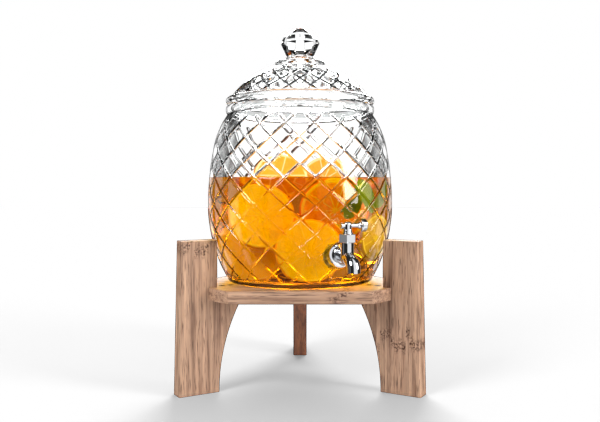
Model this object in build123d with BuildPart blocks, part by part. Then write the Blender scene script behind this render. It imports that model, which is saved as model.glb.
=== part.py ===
from build123d import *
import os
from math import asin, cos, radians, sin, sqrt

# Glass drink dispenser on a three-legged wooden stand. Millimetres, +Z up.
# The origin is under the middle of the whole, at the level of the table. -Y is the front.
# Pieces are drawn about the jar's axis and moved back to that origin as they are saved.

os.makedirs("parts", exist_ok=True)

# ---- fits ----
SEAT_GAP = 0.05  # between pieces that rest on each other but come apart
RUNNING_GAP = 0.05  # radial, shaft in hole
WOOD_GAP = 0.25  # plate's notch around a leg
THREAD_GAP = 0.02  # radial, screwed or pushed together
DRINK_GAP = 0.3  # the drink stands this far off what it wets

# ---- jar: a barrel of three arcs that run smoothly into each other ----
BELLY_RADIUS = 118.0
NECK_RISE = 212.5  # top of the barrel above the jar's base
BELLY_RISE = 0.461 * NECK_RISE  # widest level
SHOULDER_RISE = 0.814 * NECK_RISE  # where the upper arc gives way to the shoulder
LOWER_ARC = 0.904 * NECK_RISE
UPPER_ARC = 1.694 * NECK_RISE
NECK_RADIUS = BELLY_RADIUS - 25.2
RIM_RADIUS = NECK_RADIUS + 2.2
RIM_HEIGHT = 10.6
JAR_WALL = 5.0
JAR_BASE = 7.0
JAR_FOOT_ROUND = 5.0
JAR_INNER_ROUND = 9.0
PUNT_LAND = 17.0  # from the side, at the base's level, in to the hollow under the base
PUNT_DEPTH = 1.6
DRINK_RISE = 0.623 * NECK_RISE  # drink's level above the jar's base

# ---- stand ----
LEGS = {"leg_rear": 90, "leg_front_left": 210, "leg_front_right": 330}  # azimuth of each, degrees
LEG_THICK = 18.6
POST_INNER = BELLY_RADIUS + 2.3  # from the jar's axis to the post's inner face
POST_OUTER_TOP = POST_INNER + 44.2
POST_OUTER_FOOT = POST_INNER + 49.3
FOOT_INNER = POST_INNER - 2.1
SHOULDER_REACH = 33.0  # how far the shoulder under the plate stands inside the post
LEG_CHAMFER = 1.0
PLATE_TOP = 127.8
PLATE_THICK = 15.2
PLATE_RADIUS = POST_INNER + 11.7
PLATE_FLAT = POST_INNER - 17.8  # from the axis to each of the flats between the legs
PLATE_ROUND = 1.0
LEG_HEIGHT = PLATE_TOP + 56.7

# ---- wood screws, two down through the plate into each leg ----
SCREW_INSET = (10.3, 21.3)  # inside the post's inner face
SCREW_HEAD_RADIUS = 4.0
SCREW_RADIUS = 2.0
SCREW_LENGTH = 32.0
SCREW_DRIVE = 1.3  # width and depth of the cross recess
SCREW_CROSS = 5.2  # recess from end to end
SCREW_SUNK = 0.3  # head below the plate's top
SCREW_CLEAR = 0.3

# ---- lid ----
FLANGE_RADIUS = RIM_RADIUS
FLANGE_THICK = 12.0
DOME_RADIUS = FLANGE_RADIUS + 16.0  # of the sphere
DOME_RISE = 51.0  # disc's underside above the rim
LID_WALL = 5.0
SPIGOT_DEPTH = 7.0  # ring that locates the lid in the mouth
SPIGOT_WALL = 4.5
SPIGOT_GAP = 1.5
DISC_RADIUS = 32.0
DISC_THICK = 6.5
DISC_ROUND = 2.2
COLLAR_RADIUS = 18.6
COLLAR_HEIGHT = 6.0
COLLAR_ROUND = 2.0
KNOB_SIDES = 8
# height above the collar and radius over the corners, for each level where the facets meet
KNOB_LEVELS = [(0.0, 16.9), (17.5, 25.0), (25.6, 20.6), (31.6, 12.4), (35.8, 6.4)]

# ---- tap ----
TAP_TURN = 24.0  # to the right of straight ahead, degrees
TAP_RISE = 43.2  # shank's centre above the jar's base
BARREL_RADIUS = 8.0
SHANK_RADIUS = BARREL_RADIUS - 0.5
SHANK_HOLE_GAP = 0.7
SHANK_BORE = 4.5
SHANK_INSIDE = 27.0  # shank's length behind the boss's outer face
FLANGE_RING_RADIUS = SHANK_RADIUS + 7.5
FLANGE_RING_DEPTH = 6.0
FLANGE_RING_EDGE = 2.2
FLANGE_RING_NECK = SHANK_RADIUS + 1.8
BOSS_RADIUS = FLANGE_RING_RADIUS + 2.0
BOSS_STAND = 2.0  # flat outer face outside the jar's side, at the tap's level
BOSS_THICK = JAR_WALL + 6.5
GASKET_RADIUS = SHANK_RADIUS + 4.5
GASKET_THICK = 2.0
NUT_FLATS = SHANK_RADIUS + 3.5  # from centre to flat
NUT_THICK = 7.0
BARREL_REACH = 19.6  # barrel's axis in front of the boss's face
BARREL_BELOW = 8.5  # barrel's end below the shank's centre
BARREL_ABOVE = 21.5
BARREL_FOOT_ROUND = 4.0
SPOUT_RADIUS = BARREL_RADIUS - 0.2
SPOUT_BORE = 4.5
SPOUT_REACH = 15.4  # outlet's axis in front of the barrel's axis
SPOUT_DROP = 18.0  # outlet below the shank's centre
SPOUT_BEND = 9.5
PLUG_RADIUS = BARREL_RADIUS - 2.4
PLUG_PORT = 3.4
PLUG_FLOOR = 1.8  # metal under the plug
O_RING_SECTION = 1.1  # radius of the ring's section
O_RING_GROOVE = 2.5  # groove's height
O_RING_LEVELS = (8.5, 13.5)  # above the shank's centre
GLAND_THICK = 3.0
GLAND_RADIUS = PLUG_RADIUS - 0.1
BONNET_FLATS = BARREL_RADIUS + 0.9
BONNET_HEIGHT = 10.0
BONNET_CHAMFER = 0.6
BONNET_LAP = 6.5  # how far the bonnet nut comes down over the barrel
STEM_RADIUS = 3.0
TANG_WIDTH = 3.6
TANG_DEPTH = 6.0
COLLAR_STEM_RADIUS = 6.3
COLLAR_STEM_HEIGHT = 4.8
COLLAR_STEM_TAPER = 14.0  # degrees, narrower upwards
HUB_RADIUS = 4.9
HUB_HEIGHT = 9.0
HUB_CROWN = 3.4
BAR_RADIUS = 2.6
BAR_RISE = 4.3  # bar's axis above the hub's foot
BAR_LEFT = 7.4
LEVER_KNOB_START = 12.6
LEVER_KNOB_END = 23.8
LEVER_KNOB_RADIUS = 7.75
LEVER_KNOB_NECK = 1.0  # length of the plain ring at the knob's foot
LEVER_KNOB_FLARE = 5.0  # from its foot to its full width
LEVER_KNOB_EDGE = 2.0
LEVER_SOCKET = 3.9  # metal in front of the bar's end
CAP_RADIUS = 3.5
CAP_LENGTH = 3.0
CAP_ROUND = 1.0

# ---- fruit and leaves in the drink ----
# Centre x and y as shares of the jar's inner radius and height as a share of the drink's;
# then the way the flat face looks: azimuth, elevation
INNER_RADIUS = BELLY_RADIUS - JAR_WALL
FRUIT_ROOM = min(INNER_RADIUS, 0.853 * DRINK_RISE)
ORANGE_RADIUS = 0.327 * FRUIT_ROOM
ORANGE_THICK = 6.5
ORANGES = [
    (-0.372, -0.460, 0.651, -92.0, 6.0),
    (0.088, -0.566, 0.351, -88.0, 2.0),
    (-0.460, -0.177, 0.351, -112.0, 0.0),
    (0.319, -0.336, 0.696, -88.0, 4.0),
    (-0.230, 0.248, 1.005, -78.0, 38.0),
    (0.301, 0.425, 0.967, -104.0, 30.0),
]
LEMON_RADIUS = 0.248 * FRUIT_ROOM
LEMON_THICK = 6.0
LEMONS = [
    (0.743, -0.389, 0.455, -35.0, 0.0),
    (0.177, 0.088, 0.440, -95.0, -8.0),
]
LEAF_LENGTH = 0.407 * FRUIT_ROOM
LEAF_WIDTH = 0.186 * FRUIT_ROOM
LEAF_THICK = 1.6
# the same, and the roll of the leaf's tip at the end
LEAVES = [
    (0.664, -0.619, 0.823, -43.0, 0.0, -58.0),
    (0.761, -0.195, 0.846, -14.0, 0.0, 40.0),
    (0.513, -0.513, 0.785, -45.0, 0.0, 60.0),
]

# ---- worked out ----
PLATE_BOTTOM = PLATE_TOP - PLATE_THICK
JAR_FOOT = PLATE_TOP + SEAT_GAP
BELLY = JAR_FOOT + BELLY_RISE
NECK = JAR_FOOT + NECK_RISE
RIM_TOP = NECK + RIM_HEIGHT
DRINK_TOP = JAR_FOOT + DRINK_RISE
LID_FOOT = RIM_TOP + SEAT_GAP
DISC_FOOT = RIM_TOP + DOME_RISE
COLLAR_FOOT = DISC_FOOT + DISC_THICK
KNOB_FOOT = COLLAR_FOOT + COLLAR_HEIGHT
TAP_LEVEL = JAR_FOOT + TAP_RISE
BARREL_TOP = TAP_LEVEL + BARREL_ABOVE
BARREL_FOOT = TAP_LEVEL - BARREL_BELOW
BONNET_FOOT = BARREL_TOP - BONNET_LAP
BONNET_TOP = BONNET_FOOT + BONNET_HEIGHT
CHAMBER_RADIUS = PLUG_RADIUS + RUNNING_GAP
CHAMBER_FOOT = BARREL_FOOT + PLUG_FLOOR
PLUG_FOOT = CHAMBER_FOOT + SEAT_GAP
PLUG_TOP = BARREL_TOP - GLAND_THICK - SEAT_GAP
STEM_COLLAR_FOOT = BONNET_TOP + SEAT_GAP
HUB_FOOT = STEM_COLLAR_FOOT + COLLAR_STEM_HEIGHT
BAR_LEVEL = HUB_FOOT + BAR_RISE

TAP_OUT = Vector(sin(radians(TAP_TURN)), -cos(radians(TAP_TURN)), 0)
TAP_RIGHT = Vector(cos(radians(TAP_TURN)), sin(radians(TAP_TURN)), 0)


def arc_centre(radius):
    """Centre, as radius and height, of an arc that meets the widest level square on."""
    return BELLY_RADIUS - radius, BELLY


def shoulder_arc():
    """Radius, centre and start angle of the arc from the upper arc round to the neck."""
    x, z = arc_centre(UPPER_ARC)
    angle = asin((JAR_FOOT + SHOULDER_RISE - z) / UPPER_ARC)
    start = (x + UPPER_ARC * cos(angle), z + UPPER_ARC * sin(angle))
    to_neck = (NECK_RADIUS - start[0], NECK - start[1])
    outwards = to_neck[0] * cos(angle) + to_neck[1] * sin(angle)
    radius = -(to_neck[0] ** 2 + to_neck[1] ** 2) / (2 * outwards)
    return radius, (start[0] - radius * cos(angle), start[1] - radius * sin(angle)), angle


def shoulder_level(inset):
    """Height where the upper arc ends, for the side moved in by inset."""
    return BELLY + (UPPER_ARC - inset) * sin(shoulder_arc()[2])


def side_radius(z, inset=0.0):
    """Radius of the jar's side at height z, moved in by inset square to the glass."""
    if z <= BELLY:
        radius, (x, level) = LOWER_ARC, arc_centre(LOWER_ARC)
    elif z <= shoulder_level(inset):
        radius, (x, level) = UPPER_ARC, arc_centre(UPPER_ARC)
    else:
        radius, (x, level), _ = shoulder_arc()
    return x + sqrt((radius - inset) ** 2 - (z - level) ** 2)


def side_line(low, high, inset=0.0):
    """Draws the jar's side between two heights in the open line, one arc after another."""
    bends = [z for z in (BELLY, shoulder_level(inset)) if low < z < high]
    stops = [low, *bends, high]
    for a, b in zip(stops, stops[1:]):
        ThreePointArc(*[(side_radius(z, inset), z) for z in (a, (a + b) / 2, b)])


MOUTH_RADIUS = side_radius(NECK, JAR_WALL)
PUNT_RADIUS = side_radius(JAR_FOOT) - PUNT_LAND
BOSS_FACE = side_radius(TAP_LEVEL) + BOSS_STAND
NUT_FACE = BOSS_FACE - BOSS_THICK - GASKET_THICK
BARREL_AXIS = BOSS_FACE + BARREL_REACH
BARREL_CENTRE = TAP_OUT * BARREL_AXIS
FRONT = (BARREL_AXIS + SPOUT_REACH) * cos(radians(TAP_TURN)) + SPOUT_RADIUS
AXIS_SHIFT = (FRONT - POST_OUTER_FOOT) / 2  # jar's axis behind the origin, so negative


def radial_plane(azimuth):
    """Upright plane through the jar's axis: x runs outwards at that azimuth, y up."""
    out = Vector(cos(radians(azimuth)), sin(radians(azimuth)), 0)
    return Plane(origin=(0, 0, 0), x_dir=out, z_dir=out.cross(Vector(0, 0, 1)))


def tap_plane(reach, level=TAP_LEVEL):
    """Plane square to the shank, at a distance from the jar's axis. x is to the right, y up."""
    return Plane(origin=TAP_OUT * reach + Vector(0, 0, level), x_dir=TAP_RIGHT, z_dir=TAP_OUT)


def barrel_plane(level):
    """Level plane centred on the tap's barrel, with x along the lever at rest."""
    return Plane(origin=BARREL_CENTRE + Vector(0, 0, level), x_dir=TAP_RIGHT, z_dir=(0, 0, 1))


def bar_plane(reach):
    """Plane square to the lever's bar, at a distance to the right of the barrel's axis."""
    origin = BARREL_CENTRE + TAP_RIGHT * reach + Vector(0, 0, BAR_LEVEL)
    return Plane(origin=origin, x_dir=-TAP_OUT, z_dir=TAP_RIGHT)


def facing_plane(x, y, rise, azimuth, elevation, roll=0.0):
    """Plane for a slice or a leaf, centred at shares of the jar's size and facing a direction."""
    flat = cos(radians(elevation))
    look = Vector(flat * cos(radians(azimuth)), flat * sin(radians(azimuth)), sin(radians(elevation)))
    centre = (x * INNER_RADIUS, y * INNER_RADIUS, JAR_FOOT + rise * DRINK_RISE)
    across = Vector(0, 0, 1).cross(look).normalized()
    along = across * cos(radians(roll)) + look.cross(across) * sin(radians(roll))
    return Plane(origin=centre, x_dir=along, z_dir=look)


def screw_spots():
    """Distance of each screw from the jar's axis."""
    return [POST_INNER - inset for inset in SCREW_INSET]


def save(builder, name):
    """Moves a finished piece to the origin, names it and writes it to its own file."""
    piece = builder.part.moved(Location((0, AXIS_SHIFT, 0)))
    piece.label = name
    export_step(piece, f"parts/{name}.step")


# ---- stand ----
with BuildPart() as stand_plate:
    with BuildSketch(Plane.XY.offset(PLATE_BOTTOM)):
        Circle(PLATE_RADIUS)
        for azimuth in LEGS.values():
            with Locations(Plane.XY.rotated((0, 0, azimuth + 180))):
                with Locations((PLATE_FLAT + PLATE_RADIUS / 2, 0)):
                    Rectangle(PLATE_RADIUS, 2 * PLATE_RADIUS, mode=Mode.SUBTRACT)
    extrude(amount=PLATE_THICK)
    fillet(stand_plate.faces().filter_by(Axis.Z).edges(), PLATE_ROUND)
    with BuildSketch(Plane.XY.offset(PLATE_BOTTOM)):
        for azimuth in LEGS.values():
            with Locations(Plane.XY.rotated((0, 0, azimuth))):
                with Locations((POST_INNER - WOOD_GAP + PLATE_RADIUS / 2, 0)):
                    Rectangle(PLATE_RADIUS, LEG_THICK + 2 * WOOD_GAP)
    extrude(amount=PLATE_THICK, mode=Mode.SUBTRACT)
    for azimuth in LEGS.values():
        with Locations(Plane.XY.offset(PLATE_TOP).rotated((0, 0, azimuth))):
            with Locations(*[(spot, 0) for spot in screw_spots()]):
                CounterSinkHole(SCREW_RADIUS + SCREW_CLEAR, SCREW_HEAD_RADIUS + SCREW_CLEAR)
save(stand_plate, "stand_plate")

for leg_name, leg_azimuth in LEGS.items():
    side = radial_plane(leg_azimuth)
    with BuildPart() as leg:
        with BuildSketch(side.offset(-LEG_THICK / 2)):
            with BuildLine():
                Polyline(
                    (FOOT_INNER, 0),
                    (POST_OUTER_FOOT, 0),
                    (POST_OUTER_TOP, LEG_HEIGHT),
                    (POST_INNER, LEG_HEIGHT),
                    (POST_INNER, PLATE_BOTTOM),
                    (POST_INNER - SHOULDER_REACH, PLATE_BOTTOM),
                )
                TangentArc(
                    (FOOT_INNER, 0), (POST_INNER - SHOULDER_REACH, PLATE_BOTTOM), tangent=(0, 1)
                )
            make_face()
        extrude(amount=LEG_THICK)
        corners = leg.faces().filter_by(side).edges()
        resting = [
            edge
            for level in (0, PLATE_BOTTOM)
            for edge in corners.filter_by_position(Axis.Z, level, level)
        ]
        chamfer(corners - resting, LEG_CHAMFER)
        with Locations(Plane.XY.offset(PLATE_BOTTOM).rotated((0, 0, leg_azimuth))):
            with Locations(*[(spot, 0) for spot in screw_spots()]):
                Hole(SCREW_RADIUS, depth=SCREW_LENGTH - PLATE_THICK + SCREW_SUNK)
    save(leg, leg_name)

with BuildPart() as leg_screws:
    screw_top = PLATE_TOP - SCREW_SUNK
    for azimuth in LEGS.values():
        with Locations(Plane.XY.offset(screw_top).rotated((0, 0, azimuth))):
            with Locations(*[(spot, 0) for spot in screw_spots()]):
                Cylinder(SCREW_RADIUS, SCREW_LENGTH, align=(Align.CENTER, Align.CENTER, Align.MAX))
                Cone(
                    SCREW_RADIUS,
                    SCREW_HEAD_RADIUS,
                    SCREW_HEAD_RADIUS - SCREW_RADIUS,
                    align=(Align.CENTER, Align.CENTER, Align.MAX),
                )
                Box(
                    SCREW_CROSS,
                    SCREW_DRIVE,
                    SCREW_DRIVE,
                    align=(Align.CENTER, Align.CENTER, Align.MAX),
                    mode=Mode.SUBTRACT,
                )
                Box(
                    SCREW_DRIVE,
                    SCREW_CROSS,
                    SCREW_DRIVE,
                    align=(Align.CENTER, Align.CENTER, Align.MAX),
                    mode=Mode.SUBTRACT,
                )
save(leg_screws, "leg_screws")

# ---- jar ----
with BuildPart() as jar:
    with BuildSketch(Plane.XZ):
        with BuildLine():
            Polyline((0, NECK), (0, JAR_FOOT), (side_radius(JAR_FOOT), JAR_FOOT))
            side_line(JAR_FOOT, NECK)
            Line((NECK_RADIUS, NECK), (0, NECK))
        make_face()
        with BuildLine():
            Polyline((0, NECK), (NECK_RADIUS, NECK))
            ThreePointArc(
                (NECK_RADIUS, NECK), (RIM_RADIUS, NECK + RIM_HEIGHT / 2), (NECK_RADIUS, RIM_TOP)
            )
            Polyline((NECK_RADIUS, RIM_TOP), (0, RIM_TOP), (0, NECK))
        make_face()
    revolve(axis=Axis.Z)
    fillet(jar.edges().group_by(Axis.Z)[0], JAR_FOOT_ROUND)
    with BuildSketch(tap_plane(BOSS_FACE)):
        Circle(BOSS_RADIUS)
    extrude(amount=BARREL_REACH, mode=Mode.SUBTRACT)
    with BuildSketch(Plane.XZ):
        inner_foot = JAR_FOOT + JAR_BASE
        with BuildLine():
            Polyline((0, RIM_TOP), (0, inner_foot), (side_radius(inner_foot, JAR_WALL), inner_foot))
            side_line(inner_foot, NECK, JAR_WALL)
            Polyline((MOUTH_RADIUS, NECK), (MOUTH_RADIUS, RIM_TOP), (0, RIM_TOP))
        make_face()
        fillet(vertices().sort_by(Axis.Y)[:2].sort_by(Axis.X)[-1], JAR_INNER_ROUND)
    revolve(axis=Axis.Z, mode=Mode.SUBTRACT)
    with BuildSketch(tap_plane(BOSS_FACE)):
        Circle(BOSS_RADIUS)
    extrude(amount=-BOSS_THICK)
    with BuildSketch(tap_plane(BOSS_FACE - BOSS_THICK)):
        Circle(BOSS_RADIUS)
    extrude(amount=-SHANK_INSIDE, mode=Mode.SUBTRACT)
    with BuildSketch(tap_plane(BOSS_FACE)):
        Circle(SHANK_RADIUS + SHANK_HOLE_GAP)
    extrude(amount=-BOSS_THICK, mode=Mode.SUBTRACT)
    with BuildSketch(Plane.XY.offset(JAR_FOOT)):
        Circle(PUNT_RADIUS)
    extrude(amount=PUNT_DEPTH, taper=45, mode=Mode.SUBTRACT)
save(jar, "jar")

# ---- fruit and leaves ----
with BuildPart() as orange_slices:
    for place in ORANGES:
        with BuildSketch(facing_plane(*place)):
            Circle(ORANGE_RADIUS)
        extrude(amount=ORANGE_THICK / 2, both=True)
save(orange_slices, "orange_slices")

with BuildPart() as lemon_slices:
    for place in LEMONS:
        with BuildSketch(facing_plane(*place)):
            Circle(LEMON_RADIUS)
        extrude(amount=LEMON_THICK / 2, both=True)
save(lemon_slices, "lemon_slices")

with BuildPart() as mint_leaves:
    for place in LEAVES:
        with BuildSketch(facing_plane(*place)):
            Ellipse(LEAF_LENGTH / 2, LEAF_WIDTH / 2)
        extrude(amount=LEAF_THICK / 2, both=True)
save(mint_leaves, "mint_leaves")

with BuildPart() as drink:
    with BuildSketch(Plane.XZ):
        drink_wall = JAR_WALL + DRINK_GAP
        drink_foot = JAR_FOOT + JAR_BASE + DRINK_GAP
        with BuildLine():
            Polyline((0, DRINK_TOP), (0, drink_foot), (side_radius(drink_foot, drink_wall), drink_foot))
            side_line(drink_foot, DRINK_TOP, drink_wall)
            Line((side_radius(DRINK_TOP, drink_wall), DRINK_TOP), (0, DRINK_TOP))
        make_face()
        fillet(vertices().sort_by(Axis.Y)[:2].sort_by(Axis.X)[-1], JAR_INNER_ROUND)
    revolve(axis=Axis.Z)
    with BuildSketch(tap_plane(BOSS_FACE)):
        Circle(BOSS_RADIUS + DRINK_GAP)
    extrude(amount=-SHANK_INSIDE - DRINK_GAP, mode=Mode.SUBTRACT)
    for piece in (orange_slices, lemon_slices, mint_leaves):
        add(piece.part, mode=Mode.SUBTRACT)
save(drink, "drink")

# ---- lid ----
with BuildPart() as lid:
    with BuildSketch(Plane.XZ):
        dome_centre = DISC_FOOT - sqrt(DOME_RADIUS**2 - DISC_RADIUS**2)
        dome_foot = LID_FOOT + FLANGE_THICK
        dome_foot_radius = sqrt(DOME_RADIUS**2 - (dome_foot - dome_centre) ** 2)
        dome_middle = (dome_foot + DISC_FOOT) / 2
        dome_middle_radius = sqrt(DOME_RADIUS**2 - (dome_middle - dome_centre) ** 2)
        with BuildLine():
            Polyline((0, DISC_FOOT), (0, LID_FOOT), (dome_foot_radius, LID_FOOT))
            ThreePointArc(
                (dome_foot_radius, LID_FOOT),
                (FLANGE_RADIUS, LID_FOOT + FLANGE_THICK / 2),
                (dome_foot_radius, dome_foot),
            )
            ThreePointArc(
                (dome_foot_radius, dome_foot), (dome_middle_radius, dome_middle), (DISC_RADIUS, DISC_FOOT)
            )
            Line((DISC_RADIUS, DISC_FOOT), (0, DISC_FOOT))
        make_face()
    revolve(axis=Axis.Z)
    with BuildSketch(Plane.XY.offset(LID_FOOT)):
        Circle(MOUTH_RADIUS - SPIGOT_GAP)
    extrude(amount=-SPIGOT_DEPTH)
    with BuildSketch(Plane.XY.offset(DISC_FOOT)):
        Circle(DISC_RADIUS)
    extrude(amount=DISC_THICK)
    fillet(lid.edges().group_by(Axis.Z)[-1], DISC_ROUND)
    with BuildSketch(Plane.XY.offset(COLLAR_FOOT)):
        Circle(COLLAR_RADIUS)
    extrude(amount=COLLAR_HEIGHT)
    fillet(lid.edges().group_by(Axis.Z)[-1], COLLAR_ROUND)
    with BuildSketch(Plane.XZ):
        hollow_radius = DOME_RADIUS - LID_WALL
        hollow_mouth = MOUTH_RADIUS - SPIGOT_GAP - SPIGOT_WALL
        hollow_start = dome_centre + sqrt(hollow_radius**2 - hollow_mouth**2)
        with BuildLine():
            Polyline(
                (0, hollow_start),
                (0, LID_FOOT - SPIGOT_DEPTH),
                (hollow_mouth, LID_FOOT - SPIGOT_DEPTH),
                (hollow_mouth, hollow_start),
                (0, hollow_start),
            )
        make_face()
        with BuildLine():
            Polyline(
                (hollow_mouth, hollow_start), (0, hollow_start), (0, dome_centre + hollow_radius)
            )
            TangentArc(
                (0, dome_centre + hollow_radius), (hollow_mouth, hollow_start), tangent=(1, 0)
            )
        make_face()
    revolve(axis=Axis.Z, mode=Mode.SUBTRACT)
save(lid, "lid")

with BuildPart() as lid_knob:
    for rise, radius in KNOB_LEVELS:
        with BuildSketch(Plane.XY.offset(KNOB_FOOT + rise)):
            RegularPolygon(radius, KNOB_SIDES)
    loft(ruled=True)
save(lid_knob, "lid_knob")

# ---- tap: the pieces that stay still ----
with BuildPart() as tap_body:
    with BuildSketch(barrel_plane(BARREL_FOOT)):
        Circle(BARREL_RADIUS)
    extrude(amount=BARREL_TOP - BARREL_FOOT)
    fillet(tap_body.edges().group_by(Axis.Z)[0], BARREL_FOOT_ROUND)
    with BuildSketch(tap_plane(BARREL_AXIS)):
        Circle(SHANK_RADIUS)
    extrude(amount=BOSS_FACE - SHANK_INSIDE - BARREL_AXIS)
    spout_side = radial_plane(TAP_TURN - 90)
    outlet = (BARREL_AXIS + SPOUT_REACH, TAP_LEVEL - SPOUT_DROP)
    with BuildLine(spout_side) as spout_path:
        FilletPolyline(
            outlet,
            (outlet[0], TAP_LEVEL - SPOUT_DROP / 2),
            (BARREL_AXIS, TAP_LEVEL),
            radius=SPOUT_BEND,
        )
    for radius, mode in ((SPOUT_RADIUS, Mode.ADD), (SPOUT_BORE, Mode.SUBTRACT)):
        with BuildSketch(Plane(origin=spout_path.line @ 0, z_dir=(0, 0, 1))):
            Circle(radius)
        sweep(path=spout_path.line, mode=mode)
    with BuildSketch(barrel_plane(CHAMBER_FOOT)):
        Circle(CHAMBER_RADIUS)
    extrude(amount=BARREL_TOP - CHAMBER_FOOT, mode=Mode.SUBTRACT)
    with BuildSketch(tap_plane(BARREL_AXIS)):
        Circle(SHANK_BORE)
    extrude(amount=BOSS_FACE - SHANK_INSIDE - BARREL_AXIS, mode=Mode.SUBTRACT)
save(tap_body, "tap_body")


def shank_ring(name, outer, near, far):
    """A flat ring on the shank, between two distances from the jar's axis."""
    with BuildPart() as ring:
        with BuildSketch(tap_plane(near)):
            Circle(outer)
            Circle(SHANK_RADIUS + RUNNING_GAP, mode=Mode.SUBTRACT)
        extrude(amount=far - near)
    save(ring, name)


flange_foot = BOSS_FACE + GASKET_THICK
shank_ring("outer_gasket", GASKET_RADIUS, BOSS_FACE, flange_foot)
shank_ring("inner_gasket", GASKET_RADIUS, NUT_FACE, NUT_FACE + GASKET_THICK)

with BuildPart() as tap_flange:
    ring_bore = SHANK_RADIUS + RUNNING_GAP
    with BuildSketch(radial_plane(TAP_TURN - 90)):
        with BuildLine():
            Polyline(
                (flange_foot + FLANGE_RING_DEPTH, TAP_LEVEL + FLANGE_RING_NECK),
                (flange_foot + FLANGE_RING_DEPTH, TAP_LEVEL + ring_bore),
                (flange_foot, TAP_LEVEL + ring_bore),
                (flange_foot, TAP_LEVEL + FLANGE_RING_RADIUS),
                (flange_foot + FLANGE_RING_EDGE, TAP_LEVEL + FLANGE_RING_RADIUS),
            )
            TangentArc(
                (flange_foot + FLANGE_RING_EDGE, TAP_LEVEL + FLANGE_RING_RADIUS),
                (flange_foot + FLANGE_RING_DEPTH, TAP_LEVEL + FLANGE_RING_NECK),
                tangent=(0, -1),
            )
        make_face()
    revolve(axis=Axis((0, 0, TAP_LEVEL), TAP_OUT))
save(tap_flange, "tap_flange")

with BuildPart() as tap_nut:
    with BuildSketch(tap_plane(NUT_FACE)):
        RegularPolygon(NUT_FLATS, 6, major_radius=False)
        Circle(SHANK_RADIUS + THREAD_GAP, mode=Mode.SUBTRACT)
    extrude(amount=-NUT_THICK)
save(tap_nut, "tap_nut")

with BuildPart() as bonnet_nut:
    with BuildSketch(barrel_plane(BONNET_FOOT)):
        RegularPolygon(BONNET_FLATS, 6, major_radius=False)
    extrude(amount=BONNET_HEIGHT)
    chamfer(bonnet_nut.faces().filter_by(Axis.Z).edges(), BONNET_CHAMFER)
    with BuildSketch(barrel_plane(BONNET_FOOT)):
        Circle(BARREL_RADIUS + THREAD_GAP)
    extrude(amount=BONNET_LAP + THREAD_GAP, mode=Mode.SUBTRACT)
    with BuildSketch(barrel_plane(BONNET_TOP)):
        Circle(STEM_RADIUS + RUNNING_GAP)
    extrude(amount=-BONNET_HEIGHT, mode=Mode.SUBTRACT)
save(bonnet_nut, "bonnet_nut")

with BuildPart() as gland_washer:
    with BuildSketch(barrel_plane(BARREL_TOP - GLAND_THICK)):
        Circle(GLAND_RADIUS)
        Circle(STEM_RADIUS + RUNNING_GAP, mode=Mode.SUBTRACT)
    extrude(amount=GLAND_THICK)
save(gland_washer, "gland_washer")

# ---- tap: the pieces that turn ----
with BuildPart() as plug_o_rings:
    for level in O_RING_LEVELS:
        with Locations(barrel_plane(TAP_LEVEL + level)):
            Torus(PLUG_RADIUS - O_RING_SECTION, O_RING_SECTION)
save(plug_o_rings, "plug_o_rings")

with BuildPart() as valve_plug:
    with BuildSketch(barrel_plane(PLUG_FOOT)):
        Circle(PLUG_RADIUS)
    extrude(amount=PLUG_TOP - PLUG_FOOT)
    with BuildSketch(bar_plane(0).move(Location((0, 0, TAP_LEVEL - BAR_LEVEL)))):
        Circle(PLUG_PORT)
    extrude(amount=PLUG_RADIUS, both=True, mode=Mode.SUBTRACT)
    with BuildSketch(barrel_plane(PLUG_TOP)):
        Rectangle(TANG_WIDTH + 2 * THREAD_GAP, TANG_WIDTH + 2 * THREAD_GAP)
    extrude(amount=-TANG_DEPTH - THREAD_GAP, mode=Mode.SUBTRACT)
    for level in O_RING_LEVELS:
        with BuildSketch(barrel_plane(TAP_LEVEL + level - O_RING_GROOVE / 2)):
            Circle(PLUG_RADIUS)
            Circle(PLUG_RADIUS - 2 * O_RING_SECTION, mode=Mode.SUBTRACT)
        extrude(amount=O_RING_GROOVE, mode=Mode.SUBTRACT)
save(valve_plug, "valve_plug")

with BuildPart() as spindle:
    with BuildSketch(barrel_plane(PLUG_TOP - TANG_DEPTH)):
        Rectangle(TANG_WIDTH, TANG_WIDTH)
    extrude(amount=TANG_DEPTH)
    with BuildSketch(barrel_plane(PLUG_TOP)):
        Circle(STEM_RADIUS)
    extrude(amount=STEM_COLLAR_FOOT - PLUG_TOP)
    with BuildSketch(barrel_plane(STEM_COLLAR_FOOT)):
        Circle(COLLAR_STEM_RADIUS)
    extrude(amount=COLLAR_STEM_HEIGHT, taper=COLLAR_STEM_TAPER)
    with BuildSketch(barrel_plane(HUB_FOOT)):
        Circle(HUB_RADIUS)
    extrude(amount=HUB_HEIGHT)
    fillet(spindle.edges().group_by(Axis.Z)[-1], HUB_CROWN)
    with BuildSketch(bar_plane(0)):
        Circle(BAR_RADIUS + THREAD_GAP)
    extrude(amount=HUB_RADIUS, both=True, mode=Mode.SUBTRACT)
save(spindle, "spindle")

with BuildPart() as handle_bar:
    with BuildSketch(bar_plane(-BAR_LEFT)):
        Circle(BAR_RADIUS)
    extrude(amount=BAR_LEFT + LEVER_KNOB_END - LEVER_SOCKET)
save(handle_bar, "handle_bar")

with BuildPart() as handle_end_cap:
    with BuildSketch(bar_plane(-BAR_LEFT + CAP_LENGTH / 2)):
        Circle(CAP_RADIUS)
    extrude(amount=-CAP_LENGTH)
    from_hub = handle_end_cap.edges().sort_by_distance(BARREL_CENTRE + Vector(0, 0, BAR_LEVEL))
    fillet(from_hub[-1], CAP_ROUND)
    with BuildSketch(bar_plane(-BAR_LEFT)):
        Circle(BAR_RADIUS + THREAD_GAP)
    extrude(amount=CAP_LENGTH, mode=Mode.SUBTRACT)
save(handle_end_cap, "handle_end_cap")

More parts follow.
